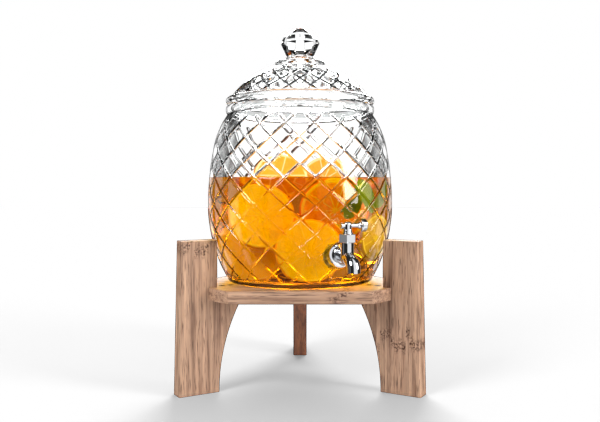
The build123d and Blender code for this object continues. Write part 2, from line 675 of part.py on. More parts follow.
with BuildPart() as handle_knob:
    knob_side = Plane(origin=BARREL_CENTRE + Vector(0, 0, BAR_LEVEL), x_dir=TAP_RIGHT, z_dir=-TAP_OUT)
    with BuildSketch(knob_side):
        with BuildLine():
            Polyline(
                (LEVER_KNOB_START, 0),
                (LEVER_KNOB_START, CAP_RADIUS),
                (LEVER_KNOB_START + LEVER_KNOB_NECK, CAP_RADIUS),
            )
            Spline(
                (LEVER_KNOB_START + LEVER_KNOB_NECK, CAP_RADIUS),
                (LEVER_KNOB_START + LEVER_KNOB_FLARE, LEVER_KNOB_RADIUS),
                tangents=[(1, 0), (1, 0)],
            )
            Polyline(
                (LEVER_KNOB_START + LEVER_KNOB_FLARE, LEVER_KNOB_RADIUS),
                (LEVER_KNOB_END - LEVER_KNOB_EDGE, LEVER_KNOB_RADIUS),
                (LEVER_KNOB_END, LEVER_KNOB_RADIUS - LEVER_KNOB_EDGE),
                (LEVER_KNOB_END, 0),
                (LEVER_KNOB_START, 0),
            )
        make_face()
    revolve(axis=Axis(knob_side.origin, TAP_RIGHT))
    with BuildSketch(bar_plane(0)):
        Circle(BAR_RADIUS + THREAD_GAP)
    extrude(amount=LEVER_KNOB_END - LEVER_SOCKET + THREAD_GAP, mode=Mode.SUBTRACT)
save(handle_knob, "handle_knob")
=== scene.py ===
import bpy
import numpy as np
from math import asin, atan2, cos, degrees, pi, radians, sin, sqrt
from mathutils import Matrix, Vector


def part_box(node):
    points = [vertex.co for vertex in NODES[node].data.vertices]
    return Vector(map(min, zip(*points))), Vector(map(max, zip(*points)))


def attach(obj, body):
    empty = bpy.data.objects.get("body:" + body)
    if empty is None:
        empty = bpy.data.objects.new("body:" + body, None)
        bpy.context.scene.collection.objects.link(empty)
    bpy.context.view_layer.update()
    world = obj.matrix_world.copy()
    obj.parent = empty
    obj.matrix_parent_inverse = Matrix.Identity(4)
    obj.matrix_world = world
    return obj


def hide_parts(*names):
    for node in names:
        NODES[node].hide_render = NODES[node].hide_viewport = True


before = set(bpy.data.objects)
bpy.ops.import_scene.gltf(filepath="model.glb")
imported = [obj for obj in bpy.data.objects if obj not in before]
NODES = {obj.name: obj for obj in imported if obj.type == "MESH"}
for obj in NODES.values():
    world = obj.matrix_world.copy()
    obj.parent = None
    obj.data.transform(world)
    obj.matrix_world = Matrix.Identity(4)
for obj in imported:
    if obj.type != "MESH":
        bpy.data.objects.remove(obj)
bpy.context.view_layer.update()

# Glass drink dispenser on a wooden stand: the looks. Metres, in the frame of the CAD model.

MM = 0.001
AXIS = Vector((0, (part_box("jar")[0].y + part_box("jar")[1].y) / 2, 0))  # foot of the jar's axis

# ---- sizes of the glass, as the CAD holds them ----
JAR_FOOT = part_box("jar")[0].z
RIM_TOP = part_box("jar")[1].z
BELLY_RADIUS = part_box("jar")[1].x
JAR_WALL = 5 * MM
INNER_RADIUS = BELLY_RADIUS - JAR_WALL
NECK_RISE = 212.5 * MM
BELLY = JAR_FOOT + 0.461 * NECK_RISE
LOWER_ARC = 0.904 * NECK_RISE
UPPER_ARC = 1.694 * NECK_RISE
SHOULDER = JAR_FOOT + 0.814 * NECK_RISE
NECK_RADIUS = 92.8 * MM
NECK = JAR_FOOT + NECK_RISE
RIM_RADIUS = 95 * MM
JAR_BASE = 7 * MM
FOOT_ROUND = 5 * MM
INNER_ROUND = 9 * MM
PUNT_RADIUS = 74 * MM
PUNT_DEPTH = 1.6 * MM
DRINK_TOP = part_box("drink")[1].z
MENISCUS = 1.4 * MM
OVERLAP = 0.4 * MM  # how far the drink's surface lies inside the glass

SPIGOT_DEPTH = 7 * MM
LID_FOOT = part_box("lid")[0].z + SPIGOT_DEPTH
FLANGE_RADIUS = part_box("lid")[1].x
FLANGE_THICK = 12 * MM
DOME_RADIUS = 111 * MM
DISC_FOOT = RIM_TOP + 51 * MM
DISC_RADIUS = 32 * MM
DISC_THICK = 6.5 * MM
COLLAR_RADIUS = 18.6 * MM
COLLAR_HEIGHT = 6 * MM
DOME_CENTRE = DISC_FOOT - sqrt(DOME_RADIUS**2 - DISC_RADIUS**2)
LID_WALL = 5 * MM
SPIGOT_GAP = 1.5 * MM
SPIGOT_WALL = 4.5 * MM
KNOB_SIDES = 8
KNOB_EASE = 0.35 * MM
KNOB_LEVELS = [  # height and corner radius of each ring of corners, in mm
    (0.0, 16.9), (17.5, 25.0), (25.6, 20.6), (31.6, 12.4), (35.8, 6.4),
]

# ---- the cut pattern ----
DIAMONDS = 20  # round the jar
HALF_ROW = 16 * MM  # half a diamond's height
GROOVE_HALF = 1.6 * MM
GROOVE_DEPTH = 1.35 * MM
PILLOW = 0.12 * MM  # how far each diamond's middle swells
CUT_EDGE = 24  # angle in degrees past which an edge of the cut glass is crisp
CELLS = 12  # grid cells to half a diamond
PLAIN_FOOT = 9 * MM  # uncut height at the jar's foot
PLAIN_NECK = 7 * MM  # and below its neck
FOOT_FADE = 3 * MM  # height in which the cut comes to its full depth, at the foot
NECK_FADE = 2 * MM
LID_HALF_ROW = 12.5 * MM
LID_CELLS = 9
LID_GROOVE_WIDER = 1.6  # the lid's grooves beside the jar's, in width and in depth
LID_GROOVE_SHALLOWER = 0.85
LID_GROOVE_LIMIT = 0.25  # widest share of the pitch, where the dome is narrow

# ---- the tap's place in the jar ----
TAP_TURN = radians(24)
TAP_OUT = Vector((sin(TAP_TURN), -cos(TAP_TURN), 0))
TAP_LEVEL = JAR_FOOT + 43.2 * MM
BOSS_FACE = 112.03 * MM
BOSS_RADIUS = 17 * MM


# ---- mesh helpers ----
def put_mesh(name, points, triangles, sharp=None, matrix=None):
    """A new mesh object from whole arrays of points and triangles, drawn about the jar's axis
    or, with a matrix, in a piece's own axes.

    sharp is the angle in degrees past which an edge between faces stays crisp."""
    mesh = bpy.data.meshes.new(name)
    mesh.vertices.add(len(points))
    mesh.vertices.foreach_set("co", np.asarray(points, np.float32).ravel())
    mesh.loops.add(3 * len(triangles))
    mesh.loops.foreach_set("vertex_index", np.asarray(triangles, np.int32).ravel())
    mesh.polygons.add(len(triangles))
    mesh.polygons.foreach_set("loop_start", np.arange(len(triangles), dtype=np.int32) * 3)
    mesh.update(calc_edges=True)
    mesh.validate()
    mesh.transform(Matrix.Translation(AXIS) @ (matrix or Matrix.Identity(4)))
    mesh.shade_smooth()
    if sharp is not None:
        mesh.set_sharp_from_angle(angle=radians(sharp))
    piece = bpy.data.objects.new(name, mesh)
    bpy.context.scene.collection.objects.link(piece)
    return piece


def ring_triangles(rows, around, slant=None):
    """Triangles of a grid of rows that closes round, its first row lowest on the outside.

    slant is True where a cell is split along its rising diagonal; without it all of them are."""
    row, column = np.meshgrid(np.arange(rows - 1), np.arange(around), indexing="ij")
    a = row * around + column
    b = row * around + (column + 1) % around
    c, d = a + around, b + around
    rising = np.ones(a.shape, bool) if slant is None else slant
    first = np.where(rising[..., None], np.stack([a, b, d], -1), np.stack([a, b, c], -1))
    second = np.where(rising[..., None], np.stack([a, d, c], -1), np.stack([b, d, c], -1))
    return np.concatenate([first.reshape(-1, 3), second.reshape(-1, 3)])


def end_fans(rows, around):
    """Triangles that close the first and last rows of a grid to the two points after it."""
    column = np.arange(around)
    beside = (column + 1) % around
    last = (rows - 1) * around
    low = np.stack([np.full(around, rows * around), beside, column], -1)
    high = np.stack([np.full(around, rows * around + 1), last + column, last + beside], -1)
    return low, high


def turned(name, profile, around=96, sharp=35, slant=None, shape=None):
    """A closed turned piece: the profile (radius, height), going outwards along the underside,
    up the outside and inwards over the top, is carried round the axis. Both ends lie on the
    axis and become single points. shape may move the grid (radius, angle, height) first."""
    profile = np.asarray(profile, float)
    angle = np.linspace(0, 2 * pi, around, endpoint=False)[None, :]
    radius = np.repeat(profile[1:-1, :1], around, 1)
    height = np.repeat(profile[1:-1, 1:], around, 1)
    if shape is not None:
        radius, height = shape(radius, angle, height)
    grid = np.stack([radius * np.cos(angle), radius * np.sin(angle), height], -1)
    rows = grid.shape[0]
    points = np.concatenate([grid.reshape(-1, 3), [[0, 0, profile[0, 1]], [0, 0, profile[-1, 1]]]])
    triangles = [ring_triangles(rows, around, slant), *end_fans(rows, around)]
    return put_mesh(name, points, np.concatenate(triangles), sharp)


def arc(centre, radius, start, end, steps):
    """Points (radius, height) along an arc, its angles in degrees from the outward direction."""
    angle = np.radians(np.linspace(start, end, steps))
    return np.stack([centre[0] + radius * np.cos(angle), centre[1] + radius * np.sin(angle)], -1)


def stops(*points):
    """Points (radius, height) as an array, for the straight parts of a profile."""
    return np.array(points, float)


# ---- the jar's side, a barrel of three arcs ----
def shoulder_arc():
    """Radius, centre and start angle of the arc from the upper arc round to the neck."""
    angle = asin((SHOULDER - BELLY) / UPPER_ARC)
    start = (BELLY_RADIUS - UPPER_ARC * (1 - cos(angle)), SHOULDER)
    to_neck = (NECK_RADIUS - start[0], NECK - start[1])
    outwards = to_neck[0] * cos(angle) + to_neck[1] * sin(angle)
    radius = -(to_neck[0] ** 2 + to_neck[1] ** 2) / (2 * outwards)
    return radius, (start[0] - radius * cos(angle), start[1] - radius * sin(angle)), angle


def side_radius(z, inset=0.0):
    """Radius of the jar's side at heights z, moved in by inset square to the glass."""
    z = np.asarray(z, float)
    bend, (x, level), angle = shoulder_arc()
    lower = BELLY_RADIUS - LOWER_ARC + np.sqrt((LOWER_ARC - inset) ** 2 - (z - BELLY) ** 2)
    upper = BELLY_RADIUS - UPPER_ARC + np.sqrt((UPPER_ARC - inset) ** 2 - (z - BELLY) ** 2)
    over = x + np.sqrt(np.maximum((bend - inset) ** 2 - (z - level) ** 2, 0))
    knee = BELLY + (UPPER_ARC - inset) * sin(angle)
    return np.where(z <= BELLY, lower, np.where(z <= knee, upper, over))


def groove_gaps(angle, along, half_row):
    """How far a point is from the nearest groove of each family, in shares of the pitch.

    angle is taken round the piece and along up its side. Two families of V grooves cross:
    each runs where its phase, the sum or the difference of turn and rise, is a whole number."""
    turn = angle * DIAMONDS / (2 * pi)
    rise = along / (2 * half_row)
    return [np.abs(phase - np.round(phase)) for phase in (turn + rise, turn - rise)]


def cut_depth(gaps, half_width, depth):
    """Depth of the cut at a point, from its gaps to the grooves of both families.

    It falls straight from a groove's middle to half_width away from it, and between grooves
    the glass swells a little, most in each diamond's middle. gaps and half_width are in
    shares of the grooves' pitch."""
    near = np.minimum(*gaps)
    groove = depth * np.clip(1 - near / half_width, 0, 1)
    swell = PILLOW * np.sin(pi * gaps[0]) * np.sin(pi * gaps[1])
    return groove - swell


def along_grooves(around, count, cells):
    """True where a cell of the cut grid is split along its rising diagonal, so that its split
    follows the nearer of the two grooves. The grid has count rows, counted from its last."""
    column = (np.arange(around) + 0.5)[None, :] / (2 * cells)
    row = (np.arange(count - 1)[:, None] - (count - 1) + 0.5) / (2 * cells)
    rising, falling = column - row, column + row
    return np.abs(rising - np.round(rising)) <= np.abs(falling - np.round(falling))


def easing(x, low, high):
    """0 below low, 1 above high, and a smooth rise between them."""
    t = np.clip((x - low) / (high - low), 0, 1)
    return t * t * (3 - 2 * t)


def jar_outline():
    """The jar's profile from under the base, up the outside, over the rim and down inside,
    and the grid row at which the cut side starts."""
    corner = side_radius(JAR_FOOT + FOOT_ROUND)
    under = stops((0, JAR_FOOT + PUNT_DEPTH), (0.02, JAR_FOOT + PUNT_DEPTH),
                  (PUNT_RADIUS - PUNT_DEPTH, JAR_FOOT + PUNT_DEPTH), (PUNT_RADIUS, JAR_FOOT))
    foot = arc((corner - FOOT_ROUND, JAR_FOOT + FOOT_ROUND), FOOT_ROUND, -90, -8, 6)
    levels = cut_levels()
    side = np.stack([side_radius(levels), levels], -1)
    bead_middle = (RIM_TOP + NECK) / 2
    bead_half = (RIM_TOP - NECK) / 2
    out = RIM_RADIUS - NECK_RADIUS
    turn = np.radians(np.linspace(-84, 84, 9))
    bead = np.stack([NECK_RADIUS + out * np.cos(turn), bead_middle + bead_half * np.sin(turn)], -1)
    mouth = float(side_radius(NECK, JAR_WALL))
    lip = stops((NECK_RADIUS - 1.2 * MM, RIM_TOP), (mouth + 1.2 * MM, RIM_TOP),
                (mouth + 0.3 * MM, RIM_TOP - 0.4 * MM), (mouth, RIM_TOP - 1.5 * MM), (mouth, NECK))
    inner_floor = JAR_FOOT + JAR_BASE
    down = np.linspace(NECK - 2 * MM, inner_floor + INNER_ROUND, 26)
    inner = np.stack([side_radius(down, JAR_WALL), down], -1)
    turn_in = side_radius(inner_floor + INNER_ROUND, JAR_WALL) - INNER_ROUND
    corner_in = arc((turn_in, inner_floor + INNER_ROUND), INNER_ROUND, -8, -90, 6)
    floor = stops((0.02, inner_floor), (0, inner_floor))
    parts = [under, foot, side, bead, lip, inner, corner_in, floor]
    return np.concatenate(parts), len(under) + len(foot) - 1


def cut_levels():
    """Heights of the grid's rows on the cut side, so that every groove runs through its corners."""
    low, high = JAR_FOOT + 7 * MM, NECK - 0.5 * MM
    count = int((high - low) / (HALF_ROW / CELLS))
    return high - np.arange(count, -1, -1) * HALF_ROW / CELLS


def make_jar():
    """The jar, with the cut pattern worked into the outside of its wall and a flat boss."""
    outline, start = jar_outline()
    levels = cut_levels()
    rows = slice(start, start + len(levels))
    around = DIAMONDS * 2 * CELLS

    def shape(radius, angle, height):
        """Cuts the lattice into the rows of the outside, fading at the foot and under the rim,
        and pushes the wall out to the boss's flat face round the tap."""
        z = height[rows]
        gaps = groove_gaps(angle, z - levels[-1], HALF_ROW)
        pitch = 2 * pi * BELLY_RADIUS / DIAMONDS
        share = GROOVE_HALF / (pitch * sqrt(0.5))  # measured square to a slanting groove
        reach = easing(z, JAR_FOOT + PLAIN_FOOT, JAR_FOOT + PLAIN_FOOT + FOOT_FADE)
        reach = reach * (1 - easing(z, NECK - PLAIN_NECK - NECK_FADE, NECK - PLAIN_NECK))
        bearing = atan2(TAP_OUT.y, TAP_OUT.x)
        turn = (angle - bearing + pi) % (2 * pi) - pi
        far = np.hypot(radius[rows] * np.sin(turn), z - TAP_LEVEL)
        boss = 1 - easing(far, BOSS_RADIUS - 1 * MM, BOSS_RADIUS + 2 * MM)
        boss = boss * (np.abs(turn) < 1)  # on the tap's side of the jar only
        cut = cut_depth(gaps, share, GROOVE_DEPTH) * reach * (1 - boss)
        flat = BOSS_FACE / np.maximum(np.cos(turn), 0.3)
        radius[rows] = (radius[rows] - cut) * (1 - boss) + flat * boss
        return radius, height

    slant = np.ones((len(outline) - 3, around), bool)
    slant[start - 1:start - 2 + len(levels)] = along_grooves(around, len(levels), CELLS)
    return turned("jar_cut_glass", outline, around, CUT_EDGE, slant, shape)


def make_drink():
    """The drink: its side and foot lie just inside the glass, its surface climbs at the wall."""
    wall = JAR_WALL - OVERLAP
    floor = JAR_FOOT + JAR_BASE - OVERLAP
    turn_in = side_radius(floor + INNER_ROUND, wall) - INNER_ROUND
    corner = arc((turn_in, floor + INNER_ROUND), INNER_ROUND, -90, -8, 8)
    up = np.linspace(floor + INNER_ROUND, DRINK_TOP, 40)
    side = np.stack([side_radius(up, wall), up], -1)
    edge = side_radius(DRINK_TOP, JAR_WALL)
    inwards = np.linspace(0, 8 * MM, 9)
    climb = MENISCUS * np.exp(-inwards / (2.2 * MM)) - MENISCUS
    top = np.stack([edge - inwards, DRINK_TOP + climb], -1)
    level = DRINK_TOP - MENISCUS
    rest = stops((edge - 0.02, level), (0.03, level), (0, level))
    outline = np.concatenate([stops((0, floor), (0.03, floor)), corner, side[:-1], top, rest])
    return turned("drink_body", outline, around=160, sharp=60)


def lid_outline():
    """The lid's profile: under the hollow, down the spigot, round the flange and over the dome,
    with the place where the dome starts in it and the dome's number of points."""
    centre = DOME_CENTRE
    hollow = DOME_RADIUS - LID_WALL
    spigot = float(side_radius(NECK, JAR_WALL)) - SPIGOT_GAP
    spigot_in = spigot - SPIGOT_WALL
    foot = LID_FOOT - SPIGOT_DEPTH
    start = degrees(np.arccos(spigot_in / hollow))
    inside = arc((0, centre), hollow, 90, start, 26)
    down = stops((spigot_in, foot + 0.8 * MM), (spigot_in + 0.8 * MM, foot), (spigot - 0.8 * MM, foot),
                 (spigot, foot + 0.8 * MM), (spigot, LID_FOOT - 0.4 * MM),
                 (spigot + 0.4 * MM, LID_FOOT))
    dome_foot = LID_FOOT + FLANGE_THICK
    waist = sqrt(DOME_RADIUS**2 - (dome_foot - centre) ** 2)
    turn = np.radians(np.linspace(-86, 80, 15))
    out = FLANGE_RADIUS - waist
    flange = np.stack([waist + out * np.cos(turn), LID_FOOT + FLANGE_THICK / 2 * (1 + np.sin(turn))], -1)
    low = degrees(asin((dome_foot - centre) / DOME_RADIUS))
    high = degrees(np.arccos(DISC_RADIUS / DOME_RADIUS))
    count = int(radians(high - low) * DOME_RADIUS / (LID_HALF_ROW / LID_CELLS))
    angles = high - np.arange(count, -1, -1) * degrees(LID_HALF_ROW / LID_CELLS / DOME_RADIUS)
    turn = np.radians(angles)
    dome = np.stack([DOME_RADIUS * np.cos(turn), centre + DOME_RADIUS * np.sin(turn)], -1)
    collar_foot = DISC_FOOT + DISC_THICK
    round_disc = arc((DISC_RADIUS - 2 * MM, collar_foot - 2 * MM), 2 * MM, 0, 84, 5)
    knob_foot = collar_foot + COLLAR_HEIGHT
    round_collar = arc((COLLAR_RADIUS - 1.8 * MM, knob_foot - 1.8 * MM), 1.8 * MM, 0, 84, 5)
    step = stops((DISC_RADIUS + 0.3 * MM, DISC_FOOT + 0.2 * MM), (DISC_RADIUS, DISC_FOOT + 0.8 * MM))
    neck = stops((COLLAR_RADIUS + 0.9 * MM, collar_foot), (COLLAR_RADIUS, collar_foot + 0.9 * MM))
    top = stops((0.008, knob_foot), (0, knob_foot))
    parts = [inside, down, flange, dome, step, round_disc, neck, round_collar, top]
    begin = sum(len(part) for part in parts[:3])
    return np.concatenate(parts), begin, len(dome)


def make_lid():
    """The lid, with the same lattice cut into its dome, finer as the dome narrows."""
    outline, start, count = lid_outline()
    rows = slice(start - 1, start - 1 + count)
    around = DIAMONDS * 2 * LID_CELLS
    along = (np.arange(count) - (count - 1))[:, None] * LID_HALF_ROW / LID_CELLS

    def shape(radius, angle, height):
        """Cuts the lattice square to the dome, fading at its foot and at the disc."""
        gaps = groove_gaps(angle, along + 0 * angle, LID_HALF_ROW)
        pitch = 2 * pi * radius[rows] / DIAMONDS
        share = np.minimum(GROOVE_HALF * LID_GROOVE_WIDER / pitch, LID_GROOVE_LIMIT)
        reach = easing(along, along[0] + 1 * MM, along[0] + 3 * MM)
        reach = reach * (1 - easing(along, -3 * MM, -1 * MM))
        cut = cut_depth(gaps, share, GROOVE_DEPTH * LID_GROOVE_SHALLOWER) * reach
        out = radius[rows] / DOME_RADIUS
        up = (height[rows] - DOME_CENTRE) / DOME_RADIUS
        radius[rows] -= cut * out
        height[rows] -= cut * up
        return radius, height

    slant = np.ones((len(outline) - 3, around), bool)
    slant[start - 1:start - 2 + count] = along_grooves(around, count, LID_CELLS)
    return turned("lid_cut_glass", outline, around, CUT_EDGE, slant, shape)


def make_knob():
    """The faceted knob: rows of flat facets between rings of corners, as the CAD has it."""
    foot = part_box("lid_knob")[0].z
    outline = [(0, foot)] + [(r * MM, foot + z * MM) for z, r in KNOB_LEVELS]
    outline.append((0, outline[-1][1]))
    knob = turned("knob_faceted", outline, around=KNOB_SIDES, sharp=5)
    knob.data.shade_flat()
    bevel = knob.modifiers.new("eased corners", "BEVEL")
    bevel.width = KNOB_EASE
    bevel.segments = 2
    bevel.limit_method = "ANGLE"
    bevel.angle_limit = radians(5)
    return knob


# ---- materials ----
def linear(code, alpha=1.0):
    """An sRGB hex colour as linear red, green, blue and alpha."""
    value = np.array([int(code[i:i + 2], 16) / 255 for i in (0, 2, 4)])
    flat = np.where(value <= 0.04045, value / 12.92, ((value + 0.055) / 1.055) ** 2.4)
    return (*flat.tolist(), alpha)


def new_material(name):
    """An empty node material and its tree."""
    material = bpy.data.materials.new(name)
    material.use_nodes = True
    material.node_tree.nodes.clear()
    return material, material.node_tree


def add(tree, kind, links=None, inputs=None, **settings):
    """Adds a node, sets its properties and inputs, and links named inputs to other sockets."""
    node = tree.nodes.new(kind)
    for key, value in settings.items():
        setattr(node, key, value)
    for key, value in (inputs or {}).items():
        node.inputs[key].default_value = value
    for key, socket in (links or {}).items():
        tree.links.new(socket, node.inputs[key])
    return node


def lamps_pass(tree, surface, tint):
    """Lets lamps through clear glass, tinted, instead of leaving it black in shadow."""
    path = add(tree, "ShaderNodeLightPath")
    clear = add(tree, "ShaderNodeBsdfTransparent", inputs={"Color": tint})
    return add(tree, "ShaderNodeMixShader",
               links={0: path.outputs["Is Shadow Ray"], 1: surface, 2: clear.outputs[0]})


def pressed_glass():
    """Soda-lime glass, pressed and fire polished: clear, hard gloss and a faint cool tint."""
    material, tree = new_material("soda_lime_pressed")
    glass = add(tree, "ShaderNodeBsdfPrincipled", inputs={
        "Base Color": linear("FDFEFE"), "Roughness": 0.0, "IOR": 1.5, "Transmission Weight": 1.0})
    mix = lamps_pass(tree, glass.outputs[0], linear("F4F6F6"))
    add(tree, "ShaderNodeOutputMaterial", links={"Surface": mix.outputs[0]})
    return material


DRINK_CLEARNESS = (0.975, 0.935, 0.0, 1)  # per unit of density, finer than a hex colour's steps
DRINK_DENSITY = 130.0


def fruit_drink():
    """Strained orange drink: clear but strongly coloured, so it deepens from yellow to
    red-orange with the depth of drink that is looked through."""
    material, tree = new_material("orange_drink_strained")
    water = add(tree, "ShaderNodeBsdfPrincipled", inputs={
        "Base Color": linear("FFE781"), "Roughness": 0.0, "IOR": 1.34,
        "Transmission Weight": 1.0})
    mix = lamps_pass(tree, water.outputs[0], linear("FFFCBC"))
    depth = add(tree, "ShaderNodeVolumeAbsorption", inputs={
        "Color": DRINK_CLEARNESS, "Density": DRINK_DENSITY})
    add(tree, "ShaderNodeOutputMaterial", links={
        "Surface": mix.outputs[0], "Volume": depth.outputs[0]})
    return material


def plated_chrome():
    """Bright nickel-chrome plate on brass: a cool mirror with faint polishing haze, in
    patches of about 5 mm."""
    material, tree = new_material("chrome_plate_polished")
    place = add(tree, "ShaderNodeTexCoord")
    haze = add(tree, "ShaderNodeTexNoise", links={"Vector": place.outputs["Object"]},
               inputs={"Scale": 180.0, "Detail": 4.0})
    rough = add(tree, "ShaderNodeMapRange", links={"Value": haze.outputs["Fac"]},
                inputs={"From Min": 0.35, "From Max": 0.75, "To Min": 0.03, "To Max": 0.10})
    metal = add(tree, "ShaderNodeBsdfPrincipled", links={"Roughness": rough.outputs[0]}, inputs={
        "Base Color": linear("D4D6DA"), "Metallic": 1.0})
    add(tree, "ShaderNodeOutputMaterial", links={"Surface": metal.outputs[0]})
    return material


MARK_SPREAD = 0.034  # height in which the node marks of neighbouring strips lie


def laminated_bamboo(name, turn, strips, marks, tint_and_painted_shade):
    """Carbonised bamboo strips glued side by side and oiled: brown, with dark fibre strokes
    along the grain and a darker node mark across each strip.

    turn brings the board's length to Z, its width to X and its thickness to Y; strips is the number of
    strips to a metre, marks the height of the node marks, and the last argument the colour that this
    board's own is multiplied by: a slight tint on most boards, and painted shade on the rear leg, which
    is darkened for the shade it stands in under the plate."""
    material, tree = new_material(name)
    place = add(tree, "ShaderNodeTexCoord")
    along = add(tree, "ShaderNodeMapping", links={"Vector": place.outputs["Object"]},
                inputs={"Rotation": turn})
    parts = add(tree, "ShaderNodeSeparateXYZ", links={"Vector": along.outputs[0]})

    strip = add(tree, "ShaderNodeMath", operation="MULTIPLY", links={0: parts.outputs["X"]},
                inputs={1: strips})
    number = add(tree, "ShaderNodeMath", operation="FLOOR", links={0: strip.outputs[0]})
    chance = add(tree, "ShaderNodeTexWhiteNoise", noise_dimensions="1D",
                 links={"W": number.outputs[0]})

    # Fibre strokes are about 1.1 mm wide and 24 mm long, streaks 4 mm and 110 mm.
    fibre_map = add(tree, "ShaderNodeMapping", links={"Vector": along.outputs[0]},
                    inputs={"Scale": (900.0, 900.0, 42.0)})
    fibre = add(tree, "ShaderNodeTexNoise", links={"Vector": fibre_map.outputs[0]},
                inputs={"Scale": 1.0, "Detail": 2.5, "Roughness": 0.55})
    streak_map = add(tree, "ShaderNodeMapping", links={"Vector": along.outputs[0]},
                     inputs={"Scale": (260.0, 260.0, 9.0)})
    streak = add(tree, "ShaderNodeTexNoise", links={"Vector": streak_map.outputs[0]},
                 inputs={"Scale": 1.0, "Detail": 3.0, "Roughness": 0.6})

    lift = add(tree, "ShaderNodeMath", operation="MULTIPLY_ADD",
               links={0: chance.outputs["Value"]},
               inputs={1: MARK_SPREAD, 2: -marks - MARK_SPREAD / 2})
    height = add(tree, "ShaderNodeMath", operation="ADD",
                 links={0: parts.outputs["Z"], 1: lift.outputs[0]})
    away = add(tree, "ShaderNodeMath", operation="ABSOLUTE", links={0: height.outputs[0]})
    mark = add(tree, "ShaderNodeMapRange", interpolation_type="SMOOTHSTEP",
               links={"Value": away.outputs[0]},
               inputs={"From Min": 1 * MM, "From Max": 11 * MM, "To Min": 1.0, "To Max": 0.0})
    # The node marks break up into blotches of 2.4 mm.
    mottle = add(tree, "ShaderNodeTexNoise", links={"Vector": along.outputs[0]},
                 inputs={"Scale": 420.0, "Detail": 2.0})
    blotch = add(tree, "ShaderNodeMapRange", links={"Value": mottle.outputs["Fac"]},
                 inputs={"From Min": 0.40, "From Max": 0.62, "To Min": 0.0, "To Max": 1.0})
    dark_mark = add(tree, "ShaderNodeMath", operation="MULTIPLY",
                    links={0: mark.outputs[0], 1: blotch.outputs[0]})

    tone = add(tree, "ShaderNodeValToRGB", links={"Fac": streak.outputs["Fac"]})
    ramp = tone.color_ramp
    ramp.elements[0].position, ramp.elements[0].color = 0.30, linear("7E5A45")
    ramp.elements[1].position, ramp.elements[1].color = 0.72, linear("D0A98B")
    ramp.elements.new(0.5).color = linear("B28E74")
    shade = add(tree, "ShaderNodeMapRange", links={"Value": chance.outputs["Value"]},
                inputs={"To Min": 0.82, "To Max": 1.1})
    stripped = add(tree, "ShaderNodeVectorMath", operation="SCALE",
                   links={0: tone.outputs["Color"], "Scale": shade.outputs[0]})
    stroke = add(tree, "ShaderNodeMapRange", interpolation_type="SMOOTHSTEP",
                 links={"Value": fibre.outputs["Fac"]},
                 inputs={"From Min": 0.54, "From Max": 0.68, "To Min": 0.0, "To Max": 0.85})
    fibred = add(tree, "ShaderNodeMix", data_type="RGBA", links={
        "Factor": stroke.outputs[0], 6: stripped.outputs[0]}, inputs={7: linear("4C3022")})
    marked = add(tree, "ShaderNodeMix", data_type="RGBA", links={
        "Factor": dark_mark.outputs[0], 6: fibred.outputs[2]}, inputs={7: linear("4A2818")})
    # Multiplied by the board's colour: a slight tint on most boards, painted shade on the rear leg.
    tinted_and_shaded = add(tree, "ShaderNodeVectorMath", operation="MULTIPLY",
                  links={0: marked.outputs[2]}, inputs={1: linear(tint_and_painted_shade)[:3]})

    rough = add(tree, "ShaderNodeMapRange", links={"Value": streak.outputs["Fac"]},
                inputs={"To Min": 0.42, "To Max": 0.62})
    dents = add(tree, "ShaderNodeMath", operation="ADD",
                links={0: stroke.outputs[0], 1: dark_mark.outputs[0]})
    bump = add(tree, "ShaderNodeBump", invert=True, links={"Height": dents.outputs[0]},
               inputs={"Strength": 0.35, "Distance": 0.0003})
    wood = add(tree, "ShaderNodeBsdfPrincipled", links={
        "Base Color": tinted_and_shaded.outputs[0], "Roughness": rough.outputs[0], "Normal": bump.outputs[0]})
    add(tree, "ShaderNodeOutputMaterial", links={"Surface": wood.outputs[0]})
    return material


def clear_silicone():
    """Clear moulded silicone: soft, a little milky, with a matt skin."""
    material, tree = new_material("silicone_clear_moulded")
    place = add(tree, "ShaderNodeTexCoord")
    noise = add(tree, "ShaderNodeTexNoise", links={"Vector": place.outputs["Object"]},
                inputs={"Scale": 500.0, "Detail": 2.0})
    gloss = add(tree, "ShaderNodeMapRange", links={"Value": noise.outputs["Fac"]},
                inputs={"To Min": 0.15, "To Max": 0.3})
    body = add(tree, "ShaderNodeBsdfPrincipled", links={"Roughness": gloss.outputs[0]}, inputs={
        "Base Color": linear("F4EEDC"), "IOR": 1.41, "Transmission Weight": 0.9})
    add(tree, "ShaderNodeOutputMaterial", links={"Surface": body.outputs[0]})
    return material


def plain_part(name, code, roughness, metallic=0.0):
    """A small moulded or turned part: one colour with a slight mottle and an uneven gloss,
    both in patches of under 2 mm."""
    material, tree = new_material(name)
    place = add(tree, "ShaderNodeTexCoord")
    noise = add(tree, "ShaderNodeTexNoise", links={"Vector": place.outputs["Object"]},
                inputs={"Scale": 600.0, "Detail": 3.0})
    gloss = add(tree, "ShaderNodeMapRange", links={"Value": noise.outputs["Fac"]},
                inputs={"To Min": roughness * 0.8, "To Max": roughness * 1.2})
    dark = [c * 0.82 for c in linear(code)[:3]]
    tone = add(tree, "ShaderNodeMix", data_type="RGBA", links={"Factor": noise.outputs["Fac"]},
               inputs={6: (*dark, 1), 7: linear(code)})
    bump = add(tree, "ShaderNodeBump", links={"Height": noise.outputs["Fac"]},
               inputs={"Strength": 0.1, "Distance": 0.0001})
    body = add(tree, "ShaderNodeBsdfPrincipled", links={
        "Base Color": tone.outputs[2], "Roughness": gloss.outputs[0], "Normal": bump.outputs[0]},
        inputs={"Metallic": metallic})
    add(tree, "ShaderNodeOutputMaterial", links={"Surface": body.outputs[0]})
    return material


